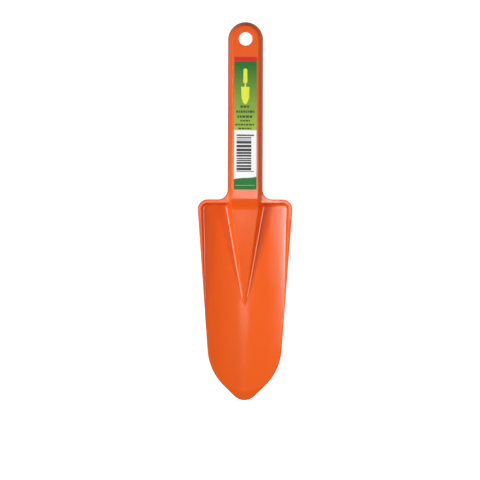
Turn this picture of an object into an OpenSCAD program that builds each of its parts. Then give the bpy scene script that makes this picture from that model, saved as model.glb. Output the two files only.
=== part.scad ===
// Hand trowel moulded in one piece: a hollow-backed handle, a concave blade with a pointed
// nose, and a raised V rib that runs from the handle into the blade's floor.
// It lies on its back. +Y points to the handle's end, +Z out of the scooped front, and the
// origin is under the middle of the trowel, on the surface that it rests on.

/* [Overall] */
// Length from the nose to the end of the handle
overall_length = 280; // [250:1:320]
// Thickness of the moulded wall
wall = 2.6; // [2:0.1:3.2]

/* [Blade] */
// Length from the nose to the shoulders' back edge
blade_length = 148.6; // [130:0.1:165]
// Width across the shoulders
blade_width = 70; // [64:0.1:76]
// Width where the straight sides end
nose_width = 54.8; // [50:0.1:58]
// Distance from the nose to the end of the straight sides
nose_length = 37; // [33:0.5:42]
// Height of the rim at the shoulders
rim_height = 12.5; // [10:0.1:14]
// Rise of the floor from the centre line, per unit of width
floor_rise = 0.16; // [0.08:0.01:0.2]
// Radius of the floor's rounded bottom along the centre line
valley_radius = 6; // [2:0.5:20]
// Distance from the centre line where the floor starts to curl up
curl_start = 15; // [10:0.5:22]
// Radius of the curl towards the sides
curl_radius = 60; // [45:1:100]
// Radius of the shoulders' corners in plan
shoulder_radius = 7.4; // [4:0.1:10]
// Angle between the nose's flanks and the centre line
flank_angle = 45.5; // [42:0.5:48]
// Radius of the very end of the nose in plan
nose_radius = 10.6; // [8:0.1:12]
// Length of the sharpening bevel at the nose
bevel_length = 5.8; // [4:0.1:8]

/* [Handle] */
// Width at the handle's lower edges
handle_width = 26; // [23:0.1:29]
// Width of the flat panel along the handle's front
panel_width = 19.6; // [18:0.1:22]
// Height of the handle's front above the rest surface
handle_height = 17; // [15:0.1:20]
// Steepness of the strips beside the handle's panel and of the rib's sides
strip_angle = 65; // [58:1:72]
// Rounding along the handle's front edges
edge_radius = 1.2; // [0.6:0.1:2]
// Radius of the blend between the handle and the shoulders in plan
neck_radius = 7; // [4:0.5:9]
// Radius of the hanging hole
hole_radius = 5; // [3:0.1:6]
// Thickness of the handle's front round the hanging hole
eye_thickness = 4.2; // [3:0.1:6]

/* [Rib] */
// Height of the rib's ridge above the rest surface at the neck
rib_height = 12; // [9:0.1:13]
// Distance from the shoulders' back edge to the rib's point
rib_length = 81.4; // [60:0.1:100]

/* [Label] */
// Width of the printed label
label_width = 16.6; // [12:0.1:17]
// Length of the printed label
label_length = 97.8; // [60:0.1:100]
// Distance from the handle's end to the label
label_from_end = 26.4; // [20:0.1:30]
// Thickness of the label's film
film_thickness = 0.15; // [0.1:0.01:0.3]
// Thickness of the adhesive under the film
adhesive_thickness = 0.05; // [0.03:0.01:0.1]

/* [Hidden] */
$fn = 96;
margin = 5;
arc_steps = 14;
floor_steps = 18;
tip_y = -overall_length / 2;
end_y = overall_length / 2;
shoulder_y = tip_y + blade_length;
side_end_y = tip_y + nose_length;
eye_y = end_y - handle_width / 2;

// The side's taper, as an angle from the centre line.
side_run = shoulder_y - shoulder_radius - side_end_y;
side_angle = atan((blade_width - nose_width) / 2 / side_run);

// The neck slopes from the handle's front down to the rib's ridge.
neck_foot_y = shoulder_y - 6.1;
rib_tip_y = shoulder_y - rib_length;

// The rim is level behind rim_level_y, falls along the sides, and follows the floor one lip
// inside the outline round the nose, where the bevel takes it down to edge_height.
rim_level_y = shoulder_y - 14;
lip = 0.8;
edge_height = 0.9;
bevel_slope = (wall - edge_height) / bevel_length;

pocket_back_y = shoulder_y - wall - 0.1;
pocket_radius = shoulder_radius - wall;

// The handle's section, from the panel over a strip and down a side. Each angle is that of
// a face's outward normal.
strip_run = (handle_height - rim_height) / tan(strip_angle);
strip_foot = panel_width / 2 + strip_run;
panel_normal = 90;
strip_normal = 90 - strip_angle;
side_normal = atan((handle_width / 2 - strip_foot) / rim_height);
label_y = end_y - label_from_end - label_length / 2;

function arc_points(centre, radius, from, to) = [
    for (i = [0 : arc_steps])
        let (a = from + (to - from) * i / arc_steps)
            [centre[0] + radius * cos(a), centre[1] + radius * sin(a)]
];

function mirrored(points) = [
    for (i = [len(points) - 1 : -1 : 0])
        [-points[i][0], points[i][1]]
];

// Height of the floor at distance x from the centre line, above its lowest line: a V with
// a rounded bottom, whose sides curl up from curl_start.
function floor_height(x) =
    let (
        bottom = floor_rise * valley_radius,
        curl = max(x - curl_start, 0)
    ) sqrt(pow(floor_rise * x, 2) + pow(bottom, 2)) - bottom
        + curl_radius - sqrt(pow(curl_radius, 2) - pow(curl, 2));

// The cheek is the arc between the tapered side and the straight flank. Its radius is the
// one that meets both without a corner.
function cheek_radius() =
    let (
        flank_x = nose_radius * cos(flank_angle),
        flank_y = tip_y + nose_radius - nose_radius * sin(flank_angle),
        // How far the end of the straight side lies inside the flank's line.
        inside = (side_end_y - flank_y) * sin(flank_angle)
            - (nose_width / 2 - flank_x) * cos(flank_angle)
    ) inside / (1 - cos(flank_angle - side_angle));

// Right half of the outline from the end of the straight side round to the nose.
function nose_outline() =
    let (
        cheek = cheek_radius(),
        cheek_centre = [
            nose_width / 2 - cheek * cos(side_angle),
            side_end_y + cheek * sin(side_angle)
        ]
    ) concat(
        arc_points(cheek_centre, cheek, -side_angle, -flank_angle),
        arc_points([0, tip_y + nose_radius], nose_radius, -flank_angle, -90)
    );

// Right half of the blade's outline, from the middle of the shoulders round to the nose.
function half_outline() =
    let (
        corner = [
            blade_width / 2 - shoulder_radius,
            shoulder_y - shoulder_radius
        ]
    ) concat(
        [[0, shoulder_y]],
        arc_points(corner, shoulder_radius, 90, -side_angle),
        nose_outline()
    );

// The rim beside a point of the nose's outline, as distance along the blade and height.
function rim_point(p) = [
    p[1],
    min(
        wall + floor_height(max(p[0] - lip, 0)),
        edge_height + bevel_slope * (p[1] - tip_y)
    )
];

// The blade's whole outline in plan.
module blade_plan() {
    half = half_outline();
    polygon(concat(half, mirrored(half)));
}

// Plan of the two corner blends between the handle's sides and the shoulders.
module neck_plan() {
    reach = handle_width / 2 + neck_radius;
    difference() {
        translate([-reach, shoulder_y - wall])
            square([2 * reach, neck_radius + wall]);
        for (side = [-1, 1])
            translate([side * reach, shoulder_y + neck_radius])
                circle(neck_radius);
    }
}

// Plan of the scooped space. Its sides close on the outline, so the rim narrows to the nose.
module pocket_plan() {
    corner = [blade_width / 2 - shoulder_radius, pocket_back_y - pocket_radius];
    half = concat(
        arc_points(corner, pocket_radius, 90, 0),
        [
            [nose_width / 2 + 0.6, side_end_y],
            [nose_width / 2 + 0.6, tip_y - margin]
        ]
    );
    polygon(concat(half, mirrored(half)));
}

// Everything above the floor's section, which is the same all along the blade. Lift moves
// it up, so that the blade's back and front are one wall apart.
module above_floor(lift) {
    reach = blade_width / 2 + 1;
    half = [
        for (i = [0 : floor_steps])
            let (x = reach * i / floor_steps)
                [x, lift + floor_height(x)]
    ];
    translate([0, shoulder_y + 3 * margin, 0])
        rotate([90, 0, 0])
            linear_extrude(height = blade_length + 6 * margin)
                polygon(concat(half, [[reach, 2 * rim_height], [-reach, 2 * rim_height]],
                    mirrored(half)));
}

// Everything under the rim's line, seen from the side.
module under_rim() {
    rotate([90, 0, 90])
        linear_extrude(height = 2 * blade_width, center = true)
            polygon(concat(
                [
                    [shoulder_y + 3 * margin, -margin],
                    [shoulder_y + 3 * margin, rim_height],
                    [rim_level_y, rim_height]
                ],
                [for (p = nose_outline()) rim_point(p)],
                [[tip_y, -margin]]
            ));
}

module blade() {
    difference() {
        intersection() {
            linear_extrude(height = rim_height)
                union() {
                    blade_plan();
                    neck_plan();
                }
            above_floor(0);
            under_rim();
        }
        intersection() {
            linear_extrude(height = rim_height + margin)
                pocket_plan();
            above_floor(wall);
        }
    }
}

// How a corner between two faces moves, per unit, when both faces move inwards.
function mitre(before, after) =
    let (
        n1 = [cos(before), sin(before)],
        n2 = [cos(after), sin(after)]
    ) (n1 + n2) / (1 + n1 * n2);

// The arc that rounds a corner between the faces whose normals are before and after.
function rounded_corner(corner, before, after, radius) =
    arc_points(corner - radius * mitre(before, after), radius, before, after);

// Right half of the handle's cross-section, moved in by inset on every face. An inset
// section runs on below the handle's lower edge, because it cuts the hollow.
function half_section(inset) =
    let (
        panel_corner = [panel_width / 2, handle_height]
            - inset * mitre(panel_normal, strip_normal),
        strip_corner = [strip_foot, rim_height]
            - inset * mitre(strip_normal, side_normal),
        depth = (inset > 0) ? margin : 0,
        foot = handle_width / 2 - inset / cos(side_normal)
            + depth * tan(side_normal)
    ) concat(
        rounded_corner(panel_corner, panel_normal, strip_normal, edge_radius),
        rounded_corner(strip_corner, strip_normal, side_normal, edge_radius),
        [[foot, -depth]]
    );

// A bar with the handle's section, from start_y to a half-round end about the eye.
module section_bar(inset, start_y) {
    half = half_section(inset);
    top = half[0][1];
    bottom = half[len(half) - 1][1];
    translate([0, eye_y, 0]) {
        rotate([90, 0, 0])
            linear_extrude(height = eye_y - start_y)
                polygon(concat(half, mirrored(half)));
        rotate_extrude()
            polygon(concat([[0, bottom], [0, top]], half));
    }
}

// The hollow behind the handle, shallower where the eye is thickened.
module handle_hollow() {
    pad_start = eye_y - hole_radius - 4;
    difference() {
        section_bar(wall, shoulder_y - 0.01);
        translate([-handle_width / 2, pad_start, handle_height - eye_thickness])
            cube([handle_width, end_y - pad_start, eye_thickness]);
    }
}

// Corners of the rib's section at distance y: sides at strip_angle down to height foot_z.
function rib_section(top_half, top_z, foot_z, y) =
    let (foot_half = top_half + (top_z - foot_z) / tan(strip_angle)) [
        [-foot_half, y, foot_z],
        [foot_half, y, foot_z],
        [top_half, y, top_z],
        [-top_half, y, top_z]
    ];

// The neck's slope, between the rib's section and the taller one at the shoulders.
module neck_wedge(top_half, drop, foot_z, back_y) {
    rise = (handle_height - rib_height) / (shoulder_y - neck_foot_y);
    back_z = rib_height + rise * (back_y - neck_foot_y);
    polyhedron(
        points = concat(
            rib_section(top_half, rib_height - drop, foot_z, neck_foot_y),
            rib_section(top_half, back_z - drop, foot_z, back_y)
        ),
        faces = [
            [3, 2, 1, 0],
            [4, 5, 6, 7],
            [5, 4, 0, 1],
            [6, 5, 1, 2],
            [7, 6, 2, 3],
            [4, 7, 3, 0]
        ]
    );
}

// The V rib: a pyramid on its side, from its section at the neck to its point.
module rib_pyramid(top_half, drop, foot_z, point) {
    polyhedron(
        points = concat(
            rib_section(top_half, rib_height - drop, foot_z, neck_foot_y),
            [point]
        ),
        faces = [
            [0, 1, 2, 3],
            [1, 0, 4],
            [2, 1, 4],
            [3, 2, 4],
            [0, 3, 4]
        ]
    );
}

module handle_outside() {
    section_bar(0, shoulder_y);
}

module neck_and_rib_outside() {
    neck_wedge(panel_width / 2, 0, wall / 2, shoulder_y);
    rib_pyramid(panel_width / 2, 0, wall / 2, [0, rib_tip_y, wall]);
}

// The hollow behind the neck and the rib. It is no wider than the handle's at the neck.
module neck_and_rib_hollow() {
    top_half = panel_width / 2 - wall * mitre(panel_normal, strip_normal)[0];
    intersection() {
        neck_wedge(top_half, wall, -1, shoulder_y);
        section_bar(wall, neck_foot_y);
    }
    rib_pyramid(top_half, wall, -1, [0, rib_tip_y + 6, -0.4]);
}

// The whole moulding: handle, neck, rib and blade in one wall.
module trowel_body() {
    color([0.91, 0.30, 0.12])
        difference() {
            union() {
                blade();
                handle_outside();
                neck_and_rib_outside();
            }
            handle_hollow();
            neck_and_rib_hollow();
            translate([0, eye_y, -margin])
                cylinder(r = hole_radius, h = handle_height + 2 * margin);
        }
}

module label_sheet(thickness, lift) {
    translate([-label_width / 2, label_y - label_length / 2, handle_height + lift])
        cube([label_width, label_length, thickness]);
}

// The pressure-sensitive layer between the handle's panel and the film.
module label_adhesive() {
    color([0.85, 0.83, 0.72])
        label_sheet(adhesive_thickness, 0);
}

// The printed film of the label.
module label_film() {
    color([0.20, 0.52, 0.24])
        label_sheet(film_thickness, adhesive_thickness);
}

trowel_body();
label_adhesive();
label_film();
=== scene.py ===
import math

import bpy
import numpy as np
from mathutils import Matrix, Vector
from mathutils.geometry import delaunay_2d_cdt


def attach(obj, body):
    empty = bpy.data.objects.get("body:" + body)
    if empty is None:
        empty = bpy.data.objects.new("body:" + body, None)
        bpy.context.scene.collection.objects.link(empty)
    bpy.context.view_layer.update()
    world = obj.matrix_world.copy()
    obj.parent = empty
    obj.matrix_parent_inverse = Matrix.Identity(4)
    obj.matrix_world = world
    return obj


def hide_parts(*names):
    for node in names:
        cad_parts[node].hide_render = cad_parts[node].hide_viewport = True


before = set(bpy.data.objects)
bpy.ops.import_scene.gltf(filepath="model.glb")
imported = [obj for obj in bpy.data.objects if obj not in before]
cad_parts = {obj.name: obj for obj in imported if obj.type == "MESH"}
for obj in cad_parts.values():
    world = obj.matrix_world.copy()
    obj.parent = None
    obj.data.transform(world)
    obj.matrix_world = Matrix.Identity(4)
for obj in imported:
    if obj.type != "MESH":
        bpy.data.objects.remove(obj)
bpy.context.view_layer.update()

# Shapes are given in millimetres, in the part's frame: +Y along the trowel to the handle's
# end, +Z out of the scooped front, the origin under the middle. Times MM, they are in
# metres. Lights and the camera are given in metres.
MM = 0.001

# Stations along the trowel.
TIP_Y = -140.0
EYE_Y = 127.0
SHOULDER_Y = 8.6
SIDE_END_Y = -103.0
NECK_FOOT_Y = 2.5
RIB_TIP_Y = -72.8
HOLLOW_TIP_Y = -66.8
RIM_LEVEL_Y = -5.4
POCKET_BACK_Y = 5.9
PAD_START_Y = 118.0

# Half-widths across it, and the hanging hole.
BLADE_HALF = 35.0
NOSE_HALF = 27.4
HANDLE_HALF = 13.0
PANEL_HALF = 9.8
HOLLOW_HALF = 8.144
HOLLOW_FOOT_HALF = 10.39
HOLE_RADIUS = 5.0

# The wall, and heights above the surface that the trowel rests on.
WALL = 2.6
HANDLE_TOP = 17.0
PAD_UNDER = 12.8
RIM_TOP = 12.5
RIB_TOP = 12.0
HOLLOW_TIP_Z = -0.4

# The plan's radii and the angle of the nose's flanks.
SHOULDER_RADIUS = 7.4
POCKET_RADIUS = 4.8
NECK_RADIUS = 7.0
NOSE_RADIUS = 10.6
FLANK_ANGLE = math.radians(45.5)

# The floor's section: a V with a rounded valley, whose sides curl up.
FLOOR_RISE = 0.16
VALLEY = 0.96
CURL_START = 15.0
CURL_RADIUS = 60.0

# The nose's rim climbs from a low edge, until it meets the floor a lip's width further in.
EDGE_TOP = 0.9
BEVEL_SLOPE = 0.293
LIP = 0.8

# Slopes, as rise over run.
STRIP_SLOPE = math.tan(math.radians(65))
SIDE_SLOPE = 11.36
POCKET_SLOPE = 7.0
NECK_SLOPE = (HANDLE_TOP - RIB_TOP) / (SHOULDER_Y - NECK_FOOT_Y)
RIB_SLOPE = (RIB_TOP - WALL) / (NECK_FOOT_Y - RIB_TIP_Y)

# A span is where a change along the trowel starts and how far it runs, and a negative run
# goes towards the nose.

# The facet beside the rib's foot: its share of the side's height over the floor, how far
# under the floor the side is followed, and where the facet fades in.
FACET_SHARE = 0.32
FACET_REACH = 1.5
FACET_SPAN = (-70.0, 9.0)

# The low crest ahead of the rib's point.
CREST_HEIGHT = 0.13
CREST_HALF = 3.2
CREST_RISE_SPAN = (-106.0, 30.0)
CREST_FALL_SPAN = (-58.0, -16.0)

# Level of the handle's side where it meets the outline, and its lift at the shoulders.
SIDE_FOOT = 0.4
SIDE_LIFT = 14.0
SIDE_LIFT_SPAN = (24.0, -14.0)

# The shoulders' level falls beside the neck, and then out of sight in the handle.
NECK_FALL = 6.0
NECK_FALL_SPAN = (12.0, 12.0)
PAN_FALL = 60.0
PAN_FALL_SPAN = (24.0, 4.0)

# The blade's underside takes over from the handle's, and the hollow's sides flare there.
UNDERSIDE_SPAN = (14.0, -4.5)
HOLLOW_FLARE = 8.0
HOLLOW_FLARE_SPAN = (NECK_FOOT_Y + 0.5, -3.0)

# Fillets and rounded edges. Where the wall is low or thin, they are a share of it.
MIN_THICK = 0.2
POCKET_FILLET = 1.8
POCKET_FILLET_SHARE = 0.55
POCKET_TOP_RADIUS = 0.5
POCKET_TOP_SHARE = 0.25
OUTER_EDGE_RADIUS = 0.6
OUTER_EDGE_SHARE = 0.42
OUTER_EDGE_SPAN = (20.0, -8.0)
UNDER_EDGE_RADIUS = 0.35
UNDER_EDGE_SHARE = 0.3
HOLE_FRONT_RADIUS = 0.7
HOLE_BACK_RADIUS = 0.4

# Blends between neighbouring surfaces, as smooth_max and ramp take them.
SHOULDER_BEND = 0.5
NECK_BEND = 1.6
WIDTH_BEND = 2.0
RIDGE_ROUNDING = 0.45
FOOT_BLEND = 0.1
FACET_BLEND = 0.16
RIM_BLEND = 0.12
SIDE_BLEND = 1.6
CEILING_BEND = 0.8
HOLLOW_BEND = 1.0
HOLLOW_ROUNDING = 0.5
HOLLOW_BLEND = 1.2
BACK_BLEND = 0.5

# The label's plate.
LABEL_HALF = 8.3
LABEL_FOOT_Y = 15.8
LABEL_HEAD_Y = 113.6
LABEL_UNDER = 17.05
LABEL_TOP = 17.2

# Meshing: points nearer than MERGE become one, a point at FAR_OFF is left out, and
# distances are found for so many points at a time.
MERGE = 1e-5
FAR_OFF = [500.0, 500.0]
BATCH = 3000


def smooth_max(a, b, k):
    """The larger of two heights, blended over a height difference of k."""
    near = np.maximum(k - np.abs(a - b), 0.0)
    return np.maximum(a, b) + near * near / (4.0 * k)


def smooth_min(a, b, k):
    """The smaller of two heights, blended the same way."""
    return -smooth_max(-a, -b, k)


def ramp(t, w):
    """0 below -w, t above w, and a parabola between."""
    return smooth_max(t, np.zeros_like(t), w)


def ease(t):
    """0 up to 0, 1 from 1 on, and a smooth step between."""
    t = np.clip(t, 0.0, 1.0)
    return t * t * (3.0 - 2.0 * t)


def along(y, span):
    """0 before a span along the trowel, 1 past it, and a smooth step between."""
    start, run = span
    return ease((y - start) / run)


def edge_drop(d, r):
    """How far a rounded edge of radius r lies below its flat, at distance d from the edge."""
    inside = np.clip(r - d, 0.0, r)
    return r - np.sqrt(r * r - inside * inside)


def arc(cx, cy, r, start, stop, step=0.55):
    """Points along a circle's arc, about a step apart."""
    count = max(4, int(abs(stop - start) * r / step))
    angles = np.linspace(start, stop, count + 1)
    return np.stack([cx + r * np.cos(angles), cy + r * np.sin(angles)], axis=1)


def resampled(points, step):
    """The same polyline with its long segments cut into steps."""
    out = [points[0]]
    for a, b in zip(points[:-1], points[1:]):
        count = max(1, int(math.ceil(float(np.hypot(*(b - a))) / step)))
        for i in range(1, count + 1):
            out.append(a + (b - a) * i / count)
    return np.array(out)


def nose_outline():
    """Right half of the outline from the end of the straight side to the nose."""
    side_run = SHOULDER_Y - SHOULDER_RADIUS - SIDE_END_Y
    side = math.atan((BLADE_HALF - NOSE_HALF) / side_run)
    flank_x = NOSE_RADIUS * math.cos(FLANK_ANGLE)
    flank_y = TIP_Y + NOSE_RADIUS - NOSE_RADIUS * math.sin(FLANK_ANGLE)
    inside = (SIDE_END_Y - flank_y) * math.sin(FLANK_ANGLE)
    inside -= (NOSE_HALF - flank_x) * math.cos(FLANK_ANGLE)
    cheek = inside / (1.0 - math.cos(FLANK_ANGLE - side))
    cx = NOSE_HALF - cheek * math.cos(side)
    cy = SIDE_END_Y + cheek * math.sin(side)
    return side, np.concatenate([
        arc(cx, cy, cheek, -side, -FLANK_ANGLE),
        arc(0.0, TIP_Y + NOSE_RADIUS, NOSE_RADIUS, -FLANK_ANGLE, -math.pi / 2),
    ])


def outline():
    """Right half of the trowel's outline, from the handle's end to the nose."""
    side, nose = nose_outline()
    half_pi = math.pi / 2
    corner_x = BLADE_HALF - SHOULDER_RADIUS
    corner_y = SHOULDER_Y - SHOULDER_RADIUS
    neck_x = HANDLE_HALF + NECK_RADIUS
    neck_y = SHOULDER_Y + NECK_RADIUS
    points = np.concatenate([
        arc(0.0, EYE_Y, HANDLE_HALF, half_pi, 0.0),
        arc(neck_x, neck_y, NECK_RADIUS, math.pi, 1.5 * math.pi, 0.3),
        arc(corner_x, corner_y, SHOULDER_RADIUS, half_pi, -side, 0.35),
        nose,
    ])
    points[0, 0] = 0.0
    points[-1, 0] = 0.0
    return resampled(points, 0.8)


def pocket_edge():
    """Right half of the scooped space's edge, which leaves the outline before the nose."""
    corner_x = BLADE_HALF - SHOULDER_RADIUS
    corner_y = POCKET_BACK_Y - POCKET_RADIUS
    side_x = NOSE_HALF + 0.6
    points = np.concatenate([
        np.array([[0.0, POCKET_BACK_Y]]),
        arc(corner_x, corner_y, POCKET_RADIUS, math.pi / 2, 0.0),
        np.array([[side_x, SIDE_END_Y], [side_x, TIP_Y - 10.0]]),
    ])
    return resampled(points, 0.8)


def inward(points):
    """Unit normals of a half outline, pointing to its inside."""
    course = np.gradient(points, axis=0)
    course /= np.hypot(course[:, 0], course[:, 1])[:, None]
    return np.stack([course[:, 1], -course[:, 0]], axis=1)


def distance_inside(points, line):
    """Signed distance from each point to a polyline, positive on its inner side."""
    a = line[:-1]
    ab = line[1:] - a
    length2 = (ab * ab).sum(axis=1)
    out = np.empty(len(points))
    for start in range(0, len(points), BATCH):
        p = points[start:start + BATCH]
        ap = p[:, None, :] - a[None, :, :]
        t = np.clip((ap * ab[None]).sum(axis=2) / length2[None], 0.0, 1.0)
        gap = ap - t[:, :, None] * ab[None]
        dist = np.hypot(gap[:, :, 0], gap[:, :, 1])
        best = dist.argmin(axis=1)
        rows = np.arange(len(p))
        cross = ab[best, 0] * ap[rows, best, 1] - ab[best, 1] * ap[rows, best, 0]
        out[start:start + BATCH] = np.where(cross <= 0.0, 1.0, -1.0) * dist[rows, best]
    return out


OUTLINE = outline()
POCKET = pocket_edge()
NOSE = nose_outline()[1]


def floor_height(x):
    """The floor's rise above its lowest line: a rounded V whose sides curl up."""
    curl = np.maximum(np.abs(x) - CURL_START, 0.0)
    vee = np.sqrt((FLOOR_RISE * x) ** 2 + VALLEY ** 2) - VALLEY
    return vee + CURL_RADIUS - np.sqrt(CURL_RADIUS ** 2 - curl ** 2)


def rim_height(y):
    """Height of the rim's line, seen from the side."""
    rim = np.minimum(
        WALL + floor_height(np.maximum(NOSE[:, 0] - LIP, 0.0)),
        EDGE_TOP + BEVEL_SLOPE * (NOSE[:, 1] - TIP_Y),
    )
    ys = np.concatenate([NOSE[::-1, 1], [RIM_LEVEL_Y]])
    return np.interp(y, ys, np.concatenate([rim[::-1], [RIM_TOP]]))


def pocket_height(p, floor, rim):
    """The scoop's section at distance p inside its edge: rim, wall, fillet and floor."""
    tall = np.maximum(rim - floor, 1e-4)
    angle = math.atan(POCKET_SLOPE)
    reach = math.tan(angle / 2.0)
    foot_r = np.minimum(POCKET_FILLET, POCKET_FILLET_SHARE * tall)
    top_r = np.minimum(POCKET_TOP_RADIUS, POCKET_TOP_SHARE * tall)
    foot = tall / POCKET_SLOPE
    floor_p = foot + foot_r * reach
    wall_p = foot - foot_r * reach * math.cos(angle)
    rim_p = -top_r * reach
    edge_p = rim_p + top_r * math.sin(angle)
    fillet = floor + foot_r - np.sqrt(np.maximum(foot_r ** 2 - (floor_p - p) ** 2, 0.0))
    corner = rim - top_r + np.sqrt(np.maximum(top_r ** 2 - (p - rim_p) ** 2, 0.0))
    z = np.where(p < floor_p, fillet, floor)
    z = np.where(p < wall_p, rim - POCKET_SLOPE * p, z)
    z = np.where(p < edge_p, corner, z)
    z = np.where(p < rim_p, rim, z)
    return np.where(rim - floor <= 1e-4, np.minimum(rim, floor), z)


def lateral(x, y):
    """Distance from the handle's centre line, or from the eye beyond it."""
    return np.where(y > EYE_Y, np.hypot(x, y - EYE_Y), np.abs(x))


def spine_height(x, y):
    """Front of the handle, the neck and the rib."""
    ridge = HANDLE_TOP - NECK_SLOPE * ramp(SHOULDER_Y - y, SHOULDER_BEND)
    ridge = ridge + (NECK_SLOPE - RIB_SLOPE) * ramp(NECK_FOOT_Y - y, NECK_BEND)
    half_slope = PANEL_HALF / (NECK_FOOT_Y - RIB_TIP_Y)
    half = PANEL_HALF - half_slope * ramp(NECK_FOOT_Y - y, WIDTH_BEND)
    return ridge - STRIP_SLOPE * ramp(lateral(x, y) - half, RIDGE_ROUNDING)


def neck_height(y):
    """The shoulders' level, which falls away beside the handle."""
    fall = NECK_FALL * along(y, NECK_FALL_SPAN)
    return RIM_TOP - fall - PAN_FALL * along(y, PAN_FALL_SPAN)


def front_height(xy):
    """Height of the moulding's front over each point of the plan."""
    x, y = xy[:, 0], xy[:, 1]
    d = np.maximum(distance_inside(xy, OUTLINE), 0.0)
    p = distance_inside(xy, POCKET)
    p = np.where(y > POCKET_BACK_Y, np.minimum(p, POCKET_BACK_Y - y), p)
    floor = WALL + floor_height(x)
    # A low crest runs on from the rib's point and fades along the floor.
    crest = CREST_HEIGHT * along(y, CREST_RISE_SPAN) * along(y, CREST_FALL_SPAN)
    floor = floor + crest * np.exp(-(x / CREST_HALF) ** 2)
    rim = rim_height(y)
    pan = smooth_min(pocket_height(p, floor, rim), rim, RIM_BLEND)
    pan = np.where(y > SHOULDER_Y, smooth_min(neck_height(y), rim, RIM_BLEND), pan)
    spine = spine_height(x, y)
    # A narrow facet runs along the rib's foot, between its side and the floor.
    lift = FACET_SHARE * (spine - pan + FACET_REACH)
    facet = pan + lift * along(y, FACET_SPAN)
    z = smooth_max(pan, smooth_max(spine, facet, FACET_BLEND), FOOT_BLEND)
    # The handle's drafted side turns into the shoulders' upright edge.
    foot = SIDE_FOOT + SIDE_LIFT * along(y, SIDE_LIFT_SPAN)
    side = SIDE_SLOPE * d + foot
    z = smooth_min(z, side, SIDE_BLEND)
    under = back_base(x, y)
    thick = np.maximum(z - under, MIN_THICK)
    radius = np.minimum(OUTER_EDGE_RADIUS, OUTER_EDGE_SHARE * thick)
    radius = radius * along(y, OUTER_EDGE_SPAN) + 1e-6
    z = z - edge_drop(d, radius)
    return z - hole_edge_drop(x, y, HOLE_FRONT_RADIUS)


def hole_edge_drop(x, y, r):
    """How far the hanging hole's rounded edge falls away from the flat round it."""
    eye = np.hypot(x, y - EYE_Y) - HOLE_RADIUS
    return edge_drop(np.maximum(eye, 0.0), np.full_like(eye, r))


def back_base(x, y):
    """Height of the back without its hollow: the blade's underside, and 0 at the handle."""
    return floor_height(x) * along(y, UNDERSIDE_SPAN)


def back_height(xy):
    """Height of the moulding's back over each point of the plan."""
    x, y = xy[:, 0], xy[:, 1]
    d = np.maximum(distance_inside(xy, OUTLINE), 0.0)
    base = back_base(x, y)
    ceiling = HANDLE_TOP - WALL - NECK_SLOPE * ramp(SHOULDER_Y - y, CEILING_BEND)
    hollow_top = RIB_TOP - WALL
    slope = (hollow_top - HOLLOW_TIP_Z) / (NECK_FOOT_Y - HOLLOW_TIP_Y)
    ceiling = ceiling + (NECK_SLOPE - slope) * ramp(NECK_FOOT_Y - y, HOLLOW_BEND)
    pad = HANDLE_TOP - WALL - PAD_UNDER
    ceiling = ceiling - pad * ease((y - PAD_START_Y + 0.5) / 1.0)
    half_slope = HOLLOW_HALF / (NECK_FOOT_Y - HOLLOW_TIP_Y)
    half = HOLLOW_HALF - half_slope * ramp(NECK_FOOT_Y - y, HOLLOW_BEND)
    away = lateral(x, y)
    hollow = ceiling - STRIP_SLOPE * ramp(away - half, HOLLOW_ROUNDING)
    foot_half = HOLLOW_FOOT_HALF + HOLLOW_FLARE * along(y, HOLLOW_FLARE_SPAN)
    hollow = smooth_min(hollow, SIDE_SLOPE * (foot_half - away), HOLLOW_BLEND)
    z = smooth_max(base, hollow, BACK_BLEND)
    front_edge = np.minimum(rim_height(y), RIM_TOP)
    thick = np.maximum(front_edge - base, MIN_THICK)
    z = z + edge_drop(d, np.minimum(UNDER_EDGE_RADIUS, UNDER_EDGE_SHARE * thick) + 1e-6)
    return z + hole_edge_drop(x, y, HOLE_BACK_RADIUS)


class Cloud:
    """Points and the edges between them, which a sheet is meshed from."""

    def __init__(self):
        self.points = []
        self.edges = []

    def add(self, points, linked=False, closed=False):
        start = len(self.points)
        self.points.extend((float(x), float(y)) for x, y in points)
        count = len(points)
        if linked:
            self.edges.extend((start + i, start + i + 1) for i in range(count - 1))
        if closed:
            self.edges.append((start + count - 1, start))

    def add_inside(self, points, margin, linked=False):
        """Adds the points that lie at least margin inside the outline."""
        points = np.asarray(points, dtype=float)
        points = points[points[:, 0] > -1e-9]
        d = distance_inside(points, OUTLINE)
        eye = np.hypot(points[:, 0], points[:, 1] - EYE_Y) - HOLE_RADIUS
        kept = (d > margin) & (eye > margin)
        if not linked:
            self.add(points[kept])
            return
        run = []
        for point, good in zip(points, kept):
            if good:
                run.append(point)
            elif run:
                self.add(run, linked=True)
                run = []
        if run:
            self.add(run, linked=True)


def boundary_loop():
    """The right half's outline and the hole's half circle, both ending on the centre line."""
    hole = arc(0.0, EYE_Y, HOLE_RADIUS, -math.pi / 2, math.pi / 2, 0.35)
    hole[0, 0] = 0.0
    hole[-1, 0] = 0.0
    return OUTLINE, hole


def offset_curves(cloud, distances, low_y=-200.0, line=None, margin=None, clear=False):
    """Lines of points that follow the outline, or another line, at distances inside it."""
    line = OUTLINE if line is None else line
    normals = inward(line)
    for d in distances:
        curve = line + normals * d
        if line is OUTLINE:
            curve[0] = [0.0, line[0, 1] - d]
            curve[-1] = [0.0, line[-1, 1] + d]
        keep = (curve[:, 1] > low_y) & (curve[:, 0] > -1e-9)
        if clear:
            # Beside the scoop's edge, that edge's own curves take over.
            p = distance_inside(curve, POCKET)
            keep &= (p < -0.7) | (p > 3.4) | (curve[:, 1] < -60.0)
        # The line breaks at the points that are left out.
        curve[~keep] = FAR_OFF
        cloud.add_inside(curve, 0.9 * d if margin is None else margin, linked=True)


def rows(ys, xs_of):
    """Loose points on rows across the trowel, right of its centre line."""
    points = []
    for y in ys:
        points.extend((x, y) for x in xs_of(y) if x > 0.25)
    return points


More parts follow.
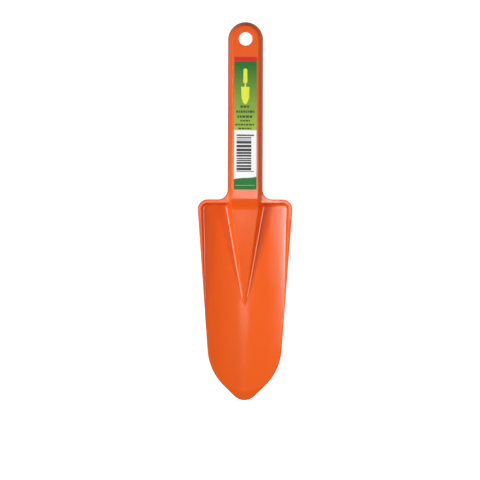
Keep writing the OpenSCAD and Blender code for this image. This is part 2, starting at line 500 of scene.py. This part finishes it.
def steps(start, stop, step):
    """Evenly spaced values from start to stop, about a step apart."""
    count = int(round(abs(stop - start) / step))
    return np.linspace(start, stop, count + 1)


def rib_halves(ys):
    """Half-widths of the rib's ridge and of its foot on the floor, at each y."""
    t = np.clip((ys - RIB_TIP_Y) / (NECK_FOOT_Y - RIB_TIP_Y), 0.0, 1.0)
    half = PANEL_HALF * t
    ridge = WALL + (RIB_TOP - WALL) * t + NECK_SLOPE * np.maximum(ys - NECK_FOOT_Y, 0.0)
    foot = half.copy()
    for _ in range(8):
        foot = half + np.maximum(ridge - WALL - floor_height(foot), 0.0) / STRIP_SLOPE
    return half, foot


def neck_foot(ys):
    """Where the handle's strip meets the shoulders, at each y."""
    ridge = np.minimum(RIB_TOP + NECK_SLOPE * (ys - NECK_FOOT_Y), HANDLE_TOP)
    return PANEL_HALF + (ridge - neck_height(ys)) / STRIP_SLOPE


def column(cloud, xs, ys):
    """A line of points along the trowel, less the ones at or over the centre line."""
    kept = xs > 0.3
    cloud.add_inside(np.column_stack([xs, ys])[kept], 1.0, linked=True)


def eye_rings(cloud, gaps, step):
    """Half circles round the hanging hole, each at a gap from its edge."""
    for gap in gaps:
        ring = arc(0.0, EYE_Y, HOLE_RADIUS + gap, -math.pi / 2, math.pi / 2, step)
        ring[[0, -1], 0] = 0.0
        cloud.add(ring, linked=True)


def front_points(cloud):
    """Fills the plan with points that are dense where the front bends."""
    offset_curves(cloud, [0.03, 0.09, 0.18, 0.3, 0.45, 0.62])
    offset_curves(cloud, [0.85, 1.1, 1.35, 1.7, 2.2], clear=True)
    offset_curves(cloud, [2.65, 2.85, 3.0, 3.2, 3.4, 3.6, 3.85, 4.4], low_y=17.0)
    pocket_steps = [
        -0.55, -0.4, -0.25, -0.1, 0.0, 0.1, 0.3, 0.5, 0.7, 0.9, 1.1, 1.3, 1.55, 1.8,
        2.1, 2.4, 2.8, 3.3,
    ]
    offset_curves(cloud, pocket_steps, line=POCKET, margin=0.7, low_y=-120.0)

    # Lines along the rib and the neck, beside the ridge's edge and the foot.
    foot_steps = (-0.75, -0.5, -0.35, -0.2, 0.1, 0.4, 0.62, 0.75, 0.9, 1.15, 1.6, 2.2)
    ys = steps(16.6, -74.4, 0.6)
    ridge_half, _ = rib_halves(ys)
    for away in (-1.6, -0.8, -0.45, -0.22, 0.0, 0.22, 0.45, 0.8):
        column(cloud, ridge_half + away, ys)
    ys = steps(17.4, 6.0, 0.4)
    for away in foot_steps:
        column(cloud, neck_foot(ys) + away, ys)
    ys = steps(4.2, -74.4, 0.6)
    ridge_half, foot_half = rib_halves(ys)
    for share in (0.4, 0.6, 0.8):
        column(cloud, ridge_half + (foot_half - ridge_half) * share, ys)
    for away in foot_steps:
        column(cloud, foot_half + away, ys)
    neck_ys = [
        9.9, 9.4, 9.1, 8.8, 8.6, 8.4, 8.1, 7.6, 7.0, 6.3, 5.6, 4.9, 4.3, 3.7, 3.2, 2.7,
        2.2, 1.7, 1.2, 0.6, 0.0, -0.8,
    ]
    cloud.add_inside(rows(neck_ys, lambda y: steps(0.8, 13.6, 0.8)), 2.3)
    cloud.add_inside(rows(steps(12.0, 121.0, 2.5), lambda y: steps(1.6, 8.0, 1.6)), 4.6)
    eye_rings(cloud, (0.04, 0.12, 0.24, 0.4, 0.6, 0.85, 1.3, 2.0), 0.5)
    cloud.add_inside(rows(steps(4.0, -130.0, 1.5), lambda y: steps(0.75, 33.0, 1.5)), 2.4)
    cloud.add_inside(rows(steps(-130.0, -139.0, 0.6), lambda y: steps(0.6, 15.0, 0.6)), 1.9)
    cloud.add_inside(rows(steps(-64.0, -112.0, 1.0), lambda y: steps(0.5, 6.5, 0.75)), 1.9)


def back_points(cloud):
    """Fills the plan with points that are dense where the back bends."""
    offset_curves(cloud, [0.05, 0.14, 0.26, 0.4, 0.8])
    skirt = [
        1.6, 2.2, 2.4, 2.5, 2.6, 2.7, 2.85, 3.1, 3.4, 3.65, 3.85, 4.1, 4.4, 4.65, 4.85,
        5.1, 5.4, 6.0,
    ]
    offset_curves(cloud, skirt, low_y=11.0)

    def hollow_columns(y):
        t = (y - HOLLOW_TIP_Y) / (NECK_FOOT_Y - HOLLOW_TIP_Y)
        half = HOLLOW_HALF * max(min(t, 1.0), 0.0)
        foot = half + 9.4 * max(min(t, 1.4), 0.0) / STRIP_SLOPE * 0.9
        offsets = [half + s for s in (-1.2, -0.6, -0.3, 0.0, 0.3, 0.6)]
        offsets += [half + (foot - half) * s for s in (0.35, 0.6, 0.8)]
        return offsets + [foot + s for s in (-0.5, -0.2, 0.1, 0.4, 0.8, 1.4)]

    cloud.add_inside(rows(steps(11.0, -70.0, 0.9), hollow_columns), 0.9)
    neck_ys = [
        10.2, 9.6, 9.2, 8.8, 8.4, 8.0, 7.4, 6.6, 5.8, 5.0, 4.4, 3.8, 3.3, 2.8, 2.3, 1.8,
        1.3, 0.7, 0.0,
    ]
    cloud.add_inside(rows(neck_ys, lambda y: steps(0.8, 16.0, 0.8)), 1.2)
    pad_ys = [116.8, 117.3, 117.5, 117.7, 117.9, 118.1, 118.3, 118.5, 118.7, 119.2]
    cloud.add_inside(rows(pad_ys, lambda y: steps(0.8, 10.4, 0.8)), 1.2)
    cloud.add_inside(rows(steps(12.0, 121.0, 2.5), lambda y: steps(1.6, 6.4, 1.6)), 6.2)
    eye_rings(cloud, (0.06, 0.16, 0.3, 0.5, 1.0, 2.0), 0.6)
    cloud.add_inside(rows(steps(7.0, -138.0, 2.0), lambda y: steps(1.0, 34.0, 2.0)), 1.2)


def centre_line(cloud, start, stop, ys):
    """Closes the loop along the centre line, from one of its points to another."""
    first = len(cloud.points)
    cloud.add([(0.0, y) for y in ys], linked=True)
    cloud.edges.append((start, first))
    cloud.edges.append((len(cloud.points) - 1, stop))


def half_sheet(fill, height):
    """One side of the moulding's right half, as points, triangles and its edge's indices."""
    rim, hole = boundary_loop()
    cloud = Cloud()
    cloud.add(rim, linked=True)
    last = len(cloud.points) - 1
    cloud.add(hole, linked=True)
    first_hole = last + 1
    last_hole = len(cloud.points) - 1
    centre_line(cloud, last, first_hole, steps(-139.4, 121.6, 0.6))
    centre_line(cloud, last_hole, 0, steps(132.3, 139.7, 0.4))
    fill(cloud)
    flat = [Vector(p) for p in cloud.points]
    verts, _, faces, origins, _, _ = delaunay_2d_cdt(flat, cloud.edges, [], 1, MERGE)
    place = {}
    for i, source in enumerate(origins):
        for s in source:
            place[s] = i
    xy = np.array([(v.x, v.y) for v in verts])
    xy[np.abs(xy[:, 0]) < 2e-4, 0] = 0.0
    z = height(xy)
    rim_ids = [place[i] for i in range(last + 1)]
    hole_ids = [place[i] for i in range(first_hole, last_hole + 1)]
    return np.column_stack([xy, z]), [tuple(f) for f in faces], rim_ids, hole_ids


def body_mesh():
    """The whole moulding: front and back sheets, joined round the outline and the hole."""
    front, front_faces, front_rim, front_hole = half_sheet(front_points, front_height)
    back, back_faces, back_rim, back_hole = half_sheet(back_points, back_height)
    shift = len(front)
    points = np.concatenate([front, back])
    faces = []
    for f in front_faces:
        faces.append(turned(f, points, True))
    for f in back_faces:
        faces.append(turned(tuple(i + shift for i in f), points, False))
    for ids, other in ((front_rim, back_rim), (front_hole, back_hole)):
        for i in range(len(ids) - 1):
            a, b = ids[i], ids[i + 1]
            c, d = other[i + 1] + shift, other[i] + shift
            faces.append((a, b, c, d))
    # The left half is the right one's mirror image. They share the centre line's points.
    count = len(points)
    twin = np.arange(count)
    off_axis = np.flatnonzero(points[:, 0] != 0.0)
    twin[off_axis] = count + np.arange(len(off_axis))
    mirror = points[off_axis] * np.array([-1.0, 1.0, 1.0])
    points = np.concatenate([points, mirror])
    faces += [tuple(int(twin[i]) for i in reversed(f)) for f in faces]
    return points, faces


def turned(face, points, up):
    """The face with its points in the order that makes it look up, or down."""
    a, b, c = (points[i] for i in face[:3])
    area = (b[0] - a[0]) * (c[1] - a[1]) - (b[1] - a[1]) * (c[0] - a[0])
    return face if (area > 0.0) == up else tuple(reversed(face))


def make_object(name, points, faces):
    """A mesh object in the scene, from points in millimetres."""
    mesh = bpy.data.meshes.new(name)
    mesh.from_pydata([tuple(float(v) * MM for v in p) for p in points], [], faces)
    mesh.validate()
    mesh.update()
    obj = bpy.data.objects.new(name, mesh)
    bpy.context.scene.collection.objects.link(obj)
    return obj


class Nodes:
    """A material's node tree, with short ways to add and link nodes."""

    def __init__(self, name):
        self.material = bpy.data.materials.new(name)
        self.material.use_nodes = True
        self.tree = self.material.node_tree
        self.shader = self.tree.nodes["Principled BSDF"]

    def add(self, kind, **settings):
        node = self.tree.nodes.new(kind)
        for key, value in settings.items():
            setattr(node, key, value)
        return node

    def link(self, source, target):
        self.tree.links.new(source, target)

    def coordinates(self, scale=(1.0, 1.0, 1.0)):
        source = self.add("ShaderNodeTexCoord")
        mapping = self.add("ShaderNodeMapping")
        mapping.inputs["Scale"].default_value = scale
        self.link(source.outputs["Object"], mapping.inputs["Vector"])
        return mapping.outputs["Vector"]

    def noise(self, vector, scale, detail):
        node = self.add("ShaderNodeTexNoise")
        node.inputs["Scale"].default_value = scale
        node.inputs["Detail"].default_value = detail
        node.inputs["Roughness"].default_value = 0.5
        self.link(vector, node.inputs["Vector"])
        return node.outputs["Fac"]

    def spread(self, value, low, high, from_low=0.3, from_high=0.7):
        node = self.add("ShaderNodeMapRange")
        node.inputs["From Min"].default_value = from_low
        node.inputs["From Max"].default_value = from_high
        node.inputs["To Min"].default_value = low
        node.inputs["To Max"].default_value = high
        self.link(value, node.inputs["Value"])
        return node.outputs["Result"]

    def math(self, operation, a, b):
        node = self.add("ShaderNodeMath", operation=operation)
        for socket, value in zip(node.inputs, (a, b)):
            if isinstance(value, (int, float)):
                socket.default_value = value
            else:
                self.link(value, socket)
        return node.outputs["Value"]

    def mix(self, factor, a, b):
        node = self.add("ShaderNodeMix", data_type="RGBA")
        self.link(factor, node.inputs["Factor"])
        colours = [s for s in node.inputs if s.type == "RGBA"]
        for socket, value in zip(colours, (a, b)):
            if isinstance(value, tuple):
                socket.default_value = value + (1.0,)
            else:
                self.link(value, socket)
        return [s for s in node.outputs if s.type == "RGBA"][0]

    def bump(self, height, distance, normal=None):
        node = self.add("ShaderNodeBump")
        node.inputs["Distance"].default_value = distance
        node.inputs["Strength"].default_value = 1.0
        self.link(height, node.inputs["Height"])
        if normal is not None:
            self.link(normal, node.inputs["Normal"])
        return node.outputs["Normal"]


def moulded_plastic():
    """Glossy orange moulding plastic, with flow clouding, a fine skin and light scuffs."""
    n = Nodes("orange_plastic")
    even = n.coordinates()
    along = n.coordinates((1.0, 0.12, 1.0))
    clouds = n.noise(along, 38.0, 4.0)
    colour = n.mix(n.spread(clouds, 0.0, 1.0), (0.83, 0.098, 0.003), (0.87, 0.112, 0.005))
    n.link(colour, n.shader.inputs["Base Color"])
    skin = n.noise(even, 900.0, 2.0)
    patches = n.noise(even, 60.0, 4.0)
    scuffs = n.noise(n.coordinates((1.0, 0.03, 1.0)), 1500.0, 2.0)
    rough = n.spread(patches, 0.19, 0.25)
    rough = n.math("ADD", rough, n.spread(scuffs, 0.0, 0.03, 0.45, 0.75))
    n.link(rough, n.shader.inputs["Roughness"])
    flow = n.noise(along, 26.0, 2.0)
    normal = n.bump(flow, 0.00018)
    normal = n.bump(skin, 0.000012, normal=normal)
    n.link(normal, n.shader.inputs["Normal"])
    n.shader.inputs["IOR"].default_value = 1.5
    n.shader.inputs["Specular IOR Level"].default_value = 0.45
    return n.material


FILM_ROUGHNESS = 0.34


def ink(name, colour):
    """Printed film in one ink, slightly uneven, over the film's faint ripple."""
    n = Nodes(name)
    even = n.coordinates()
    grain = n.noise(even, 2400.0, 2.0)
    dark = tuple(c * 0.93 for c in colour)
    n.link(n.mix(n.spread(grain, 0.0, 1.0), dark, colour), n.shader.inputs["Base Color"])
    finish_film(n, even)
    return n.material


def finish_film(n, even):
    """Gives printed film its uneven gloss and its faint ripple."""
    patches = n.noise(even, 130.0, 3.0)
    rough = n.spread(patches, FILM_ROUGHNESS - 0.04, FILM_ROUGHNESS + 0.05)
    n.link(rough, n.shader.inputs["Roughness"])
    ripple = n.noise(n.coordinates((1.0, 0.4, 1.0)), 90.0, 2.0)
    n.link(n.bump(ripple, 0.00006), n.shader.inputs["Normal"])
    n.shader.inputs["Specular IOR Level"].default_value = 0.28


def green_fade(name, foot_y, head_y, foot_colour, head_colour):
    """Film printed with a fade from one green to another along the label."""
    n = Nodes(name)
    even = n.coordinates()
    split = n.add("ShaderNodeSeparateXYZ")
    n.link(even, split.inputs["Vector"])
    level = n.spread(split.outputs["Y"], 0.0, 1.0, foot_y * MM, head_y * MM)
    speckle = n.noise(even, 1800.0, 2.0)
    level = n.math("ADD", level, n.spread(speckle, -0.03, 0.03))
    n.link(n.mix(level, foot_colour, head_colour), n.shader.inputs["Base Color"])
    finish_film(n, even)
    return n.material


def adhesive_material():
    """Pale, slightly grainy adhesive."""
    n = Nodes("pale_adhesive")
    even = n.coordinates()
    grain = n.noise(even, 700.0, 3.0)
    colour = n.mix(n.spread(grain, 0.0, 1.0), (0.70, 0.66, 0.52), (0.80, 0.78, 0.66))
    n.link(colour, n.shader.inputs["Base Color"])
    n.link(n.spread(grain, 0.5, 0.65), n.shader.inputs["Roughness"])
    n.link(n.bump(grain, 0.00001), n.shader.inputs["Normal"])
    return n.material


def floor_material():
    """White paper that glows, so that the ground stays white round the moulding."""
    n = Nodes("white_paper")
    even = n.coordinates()
    grain = n.noise(even, 220.0, 3.0)
    colour = n.mix(n.spread(grain, 0.0, 1.0), (0.34, 0.34, 0.34), (0.36, 0.36, 0.36))
    n.link(colour, n.shader.inputs["Base Color"])
    n.shader.inputs["Roughness"].default_value = 0.9
    n.shader.inputs["Emission Color"].default_value = (1.0, 1.0, 1.0, 1.0)
    n.shader.inputs["Emission Strength"].default_value = 1.0
    return n.material


def box_shape(x0, y0, x1, y1):
    """A box's corners, in turn."""
    return [(x0, y0), (x1, y0), (x1, y1), (x0, y1)]


def inside_polygon(point, polygon):
    """Whether a point lies in a polygon, by the edges that a line from it crosses."""
    x, y = point
    inside = False
    for i, (x0, y0) in enumerate(polygon):
        x1, y1 = polygon[i - 1]
        if (y0 > y) != (y1 > y) and x < (x1 - x0) * (y - y0) / (y1 - y0) + x0:
            inside = not inside
    return inside


# The label's artwork: the white panel and how far its foot's curve swings, the band across
# the head, the rule along the foot, and where the greens fade.
PANEL_FOOT_Y = 24.4
PANEL_HEAD_Y = 59.6
PANEL_SWING = 0.9
BAND_FOOT_Y = 110.5
FOOTER_LINE_Y = 18.9
FOOTER_LINE_HALF = 7.2
FOOTER_LINE_WIDTH = 0.4
FADE_FOOT_Y = 60.0
FADE_HEAD_Y = 108.0

# The panel's bars. The first and the last ones are longer, as guards.
BAR_SEED = 11
BAR_FOOT_Y = 28.9
BAR_HEAD_Y = 56.4
BAR_WIDTHS = [0.55, 1.0, 1.5, 2.0]
BAR_GAPS = [0.5, 0.8]
BAR_LEFT = -6.4
BAR_RIGHT = 4.5
GUARD_RIGHT = 6.6

# Rows of dashes: the row's height up the label, its half-length and the dashes' width.
DASH_SEED = 5
DASH_LENGTHS = (0.9, 2.3)
DASH_GAP = 0.45
DASH_ROWS = [
    (77.0, 3.7, 1.5), (73.3, 6.7, 1.7), (69.6, 5.9, 1.7), (66.6, 3.7, 1.2),
    (63.7, 7.4, 1.3), (60.9, 5.2, 1.2),
]


def bar_shapes():
    """A made-up run of bars across the white panel. It encodes nothing."""
    rng = np.random.default_rng(BAR_SEED)
    shapes = []
    y = BAR_FOOT_Y
    while y < BAR_HEAD_Y - 0.4:
        thick = float(rng.choice(BAR_WIDTHS))
        top = min(y + thick, BAR_HEAD_Y)
        guard = y < BAR_FOOT_Y + 0.3 or top > BAR_HEAD_Y - 0.8
        shapes.append(box_shape(BAR_LEFT, y, GUARD_RIGHT if guard else BAR_RIGHT, top))
        y = top + float(rng.choice(BAR_GAPS))
    return shapes


def trowel_pictogram():
    """A little trowel, lying along the label: blade, neck and handle."""
    blade = [(-3.1, 91.6), (3.0, 91.6), (2.7, 83.5), (1.4, 79.8), (-0.05, 78.4),
             (-1.5, 79.8), (-2.8, 83.5)]
    neck = box_shape(-0.55, 91.6, 0.45, 94.4)
    handle = [(-1.45, 94.4), (1.35, 94.4), (1.5, 96.0), (1.35, 104.2), (0.7, 105.1),
              (-0.8, 105.1), (-1.45, 104.2), (-1.6, 96.0)]
    return [blade, neck, handle]


def dash_shapes():
    """Rows of short dashes that stand where a label has its small print."""
    rng = np.random.default_rng(DASH_SEED)
    shapes = []
    for y, half, tall in DASH_ROWS:
        x = -half
        while x < half - 0.4:
            long = float(rng.uniform(*DASH_LENGTHS))
            stop = min(x + long, half)
            shapes.append(box_shape(x, y - tall / 2, stop, y + tall / 2))
            x = stop + DASH_GAP
    return shapes


# Inks, in the order of the film's material slots.
FADE, WHITE, GREEN, BLACK, RED, YELLOW, PALE_GREEN, DARK_GREEN = range(8)


def label_inks():
    """The film's materials, one for each ink."""
    dark = (0.012, 0.17, 0.02)
    pale = (0.36, 0.50, 0.055)
    return [
        green_fade("ink_green_fade", FADE_FOOT_Y, FADE_HEAD_Y, pale, dark),
        ink("ink_white", (0.94, 0.94, 0.93)),
        ink("ink_green", (0.006, 0.17, 0.022)),
        ink("ink_black", (0.05, 0.045, 0.05)),
        ink("ink_red", (0.70, 0.018, 0.02)),
        ink("ink_yellow", (0.80, 0.86, 0.06)),
        ink("ink_pale_green", (0.30, 0.52, 0.20)),
        ink("ink_dark_green", (0.028, 0.075, 0.018)),
    ]


def label_regions():
    """Shapes printed on the label, from the lowest layer up, each with its ink."""
    waist = [
        (LABEL_HALF * t, PANEL_FOOT_Y + PANEL_SWING * t * t * (1 if t > 0 else -1))
        for t in np.linspace(1.0, -1.0, 9)
    ]
    footer = [(-LABEL_HALF, LABEL_FOOT_Y), (LABEL_HALF, LABEL_FOOT_Y)] + waist
    rule_low = FOOTER_LINE_Y - FOOTER_LINE_WIDTH / 2
    rule_high = FOOTER_LINE_Y + FOOTER_LINE_WIDTH / 2
    rule = box_shape(-FOOTER_LINE_HALF, rule_low, FOOTER_LINE_HALF, rule_high)
    regions = [
        (box_shape(-LABEL_HALF, PANEL_FOOT_Y - 3, LABEL_HALF, PANEL_HEAD_Y), WHITE),
        (footer, GREEN),
        (rule, PALE_GREEN),
    ]
    regions += [(shape, BLACK) for shape in bar_shapes()]
    regions.append((box_shape(-LABEL_HALF, BAND_FOOT_Y, LABEL_HALF, LABEL_HEAD_Y), RED))
    regions += [(shape, YELLOW) for shape in trowel_pictogram()]
    regions += [(shape, DARK_GREEN) for shape in dash_shapes()]
    return regions


def label_top():
    """The film's top face, cut along its artwork: points, faces and each face's ink."""
    corners = box_shape(-LABEL_HALF, LABEL_FOOT_Y, LABEL_HALF, LABEL_HEAD_Y)
    border = resampled(np.array(corners + corners[:1]), 4.0)[:-1]
    regions = label_regions()
    cloud = Cloud()
    cloud.add(border, linked=True, closed=True)
    for shape, _ in regions:
        cloud.add(shape, linked=True, closed=True)
    flat = [Vector(p) for p in cloud.points]
    verts, _, faces, _, _, _ = delaunay_2d_cdt(flat, cloud.edges, [], 1, MERGE)
    points = [(v.x, v.y, LABEL_TOP) for v in verts]
    tops, inks = [], []
    for f in faces:
        cx = sum(points[i][0] for i in f) / len(f)
        cy = sum(points[i][1] for i in f) / len(f)
        if abs(cx) > LABEL_HALF or not LABEL_FOOT_Y < cy < LABEL_HEAD_Y:
            continue
        index = FADE
        for shape, ink_index in regions:
            if inside_polygon((cx, cy), shape):
                index = ink_index
        tops.append(turned(tuple(f), np.array(points), True))
        inks.append(index)
    return points, tops, inks


def label_border(tops):
    """The top face's border, as directed edges."""
    border = {}
    for f in tops:
        for a, b in zip(f, f[1:] + f[:1]):
            if (b, a) in border:
                del border[(b, a)]
            else:
                border[(a, b)] = True
    return border


def label_film():
    """The printed film: one thin sheet whose artwork is cut into its top face."""
    points, tops, inks = label_top()
    border = label_border(tops)
    lower = {}
    for i in sorted({a for a, _ in border}):
        lower[i] = len(points)
        points.append((points[i][0], points[i][1], LABEL_UNDER))
    sides = [(b, a, lower[a], lower[b]) for a, b in border]
    # The underside is one polygon round the border.
    follow = {a: b for a, b in border}
    start = min(follow)
    loop = [start]
    while follow[loop[-1]] != start:
        loop.append(follow[loop[-1]])
    under = tuple(lower[i] for i in reversed(loop))
    obj = make_object("printed_label", points, tops + sides + [under])
    for material in label_inks():
        obj.data.materials.append(material)
    inks += [WHITE] * (len(sides) + 1)
    for polygon, index in zip(obj.data.polygons, inks):
        polygon.material_index = index
    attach(obj, "root")
    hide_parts("label_film")
    return obj


# Edges sharper than this stay sharp in the smooth shading.
SHARP_ANGLE = math.radians(40)


def trowel():
    """The whole moulding, as one closed skin."""
    points, faces = body_mesh()
    obj = make_object("moulded_trowel", points, faces)
    obj.data.materials.append(moulded_plastic())
    obj.data.shade_smooth()
    obj.data.set_sharp_from_angle(angle=SHARP_ANGLE)
    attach(obj, "root")
    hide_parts("trowel_body")
    return obj


def dress_adhesive():
    """The adhesive keeps its CAD solid and gets a material."""
    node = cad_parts["label_adhesive"]
    node.data.materials.clear()
    node.data.materials.append(adhesive_material())


PAPER_REACH = 1500.0
PAPER_CELLS = 6


def paper_floor():
    """A sheet of white paper that the trowel lies on."""
    count = PAPER_CELLS
    grid = np.linspace(-PAPER_REACH, PAPER_REACH, count + 1)
    points = [(x, y, 0.0) for y in grid for x in grid]
    faces = []
    for j in range(count):
        for i in range(count):
            a = j * (count + 1) + i
            faces.append((a, a + 1, a + count + 2, a + count + 1))
    obj = make_object("paper_floor", points, faces)
    obj.data.materials.append(floor_material())
    # The paper stays out of the moulding's reflections, so that its edges keep their colour.
    obj.visible_glossy = False
    obj.visible_diffuse = False
    return obj


def area_light(name, place, target, size, power):
    """A soft rectangular light in metres and watts, which the camera doesn't see."""
    data = bpy.data.lights.new(name, "AREA")
    data.shape = "RECTANGLE"
    data.size = size[0]
    data.size_y = size[1]
    data.energy = power
    obj = bpy.data.objects.new(name, data)
    obj.location = place
    aim = Vector(target) - Vector(place)
    obj.rotation_euler = aim.to_track_quat("-Z", "Y").to_euler()
    obj.visible_camera = False
    bpy.context.scene.collection.objects.link(obj)
    return obj


SKY_STRENGTH = 0.24
CENTRE = (0.0, 0.0, 0.0)
BLADE_MIDDLE = (0.0, -0.05, 0.0)


def studio():
    """Even soft light all round, with a few soft lights from the left, right and above."""
    world = bpy.data.worlds.new("studio")
    world.use_nodes = True
    background = world.node_tree.nodes["Background"]
    background.inputs["Color"].default_value = (1.0, 1.0, 1.0, 1.0)
    background.inputs["Strength"].default_value = SKY_STRENGTH
    bpy.context.scene.world = world
    area_light("key", (-0.30, 0.0, 0.30), CENTRE, (0.11, 0.125), 0.40)
    area_light("key_wide", (-0.40, 0.35, 0.75), CENTRE, (0.42, 0.35), 0.15)
    area_light("edge_left", (-0.80, -0.08, 0.46), BLADE_MIDDLE, (0.42, 0.08), 3.6)
    area_light("edge_right", (0.80, -0.12, 0.46), BLADE_MIDDLE, (0.40, 0.08), 2.7)
    area_light("ridge", (0.0, -0.080, 0.35), (0.0, -0.080, 0.0), (0.03, 0.03), 0.017)
    area_light("near_left", (-0.26, -0.02, 0.26), (0.0, -0.02, 0.0), (0.12, 0.12), 0.26)
    area_light("sheen_right", (-0.28, 0.04, 0.50), (0.02, 0.0, 0.0), (0.06, 0.09), 0.18)
    area_light("spot", (0.035, 0.012, 0.70), (0.035, 0.012, 0.0), (0.05, 0.04), 0.36)


CAMERA_LENS = 400.0
CAMERA_PLACE = (-0.0036, -0.0214, 3.9506)
CAMERA_TURN = math.radians(0.2)


def camera():
    """Looks straight down on the front from far above, with plain view settings."""
    data = bpy.data.cameras.new("camera")
    data.lens = CAMERA_LENS
    data.sensor_width = 36.0
    data.clip_end = 20.0
    obj = bpy.data.objects.new("camera", data)
    obj.location = CAMERA_PLACE
    obj.rotation_euler = (0.0, 0.0, CAMERA_TURN)
    bpy.context.scene.collection.objects.link(obj)
    bpy.context.scene.camera = obj
    view = bpy.context.scene.view_settings
    view.view_transform = "Standard"
    view.look = "None"
    view.exposure = 0.0


trowel()
label_film()
dress_adhesive()
paper_floor()
studio()
camera()
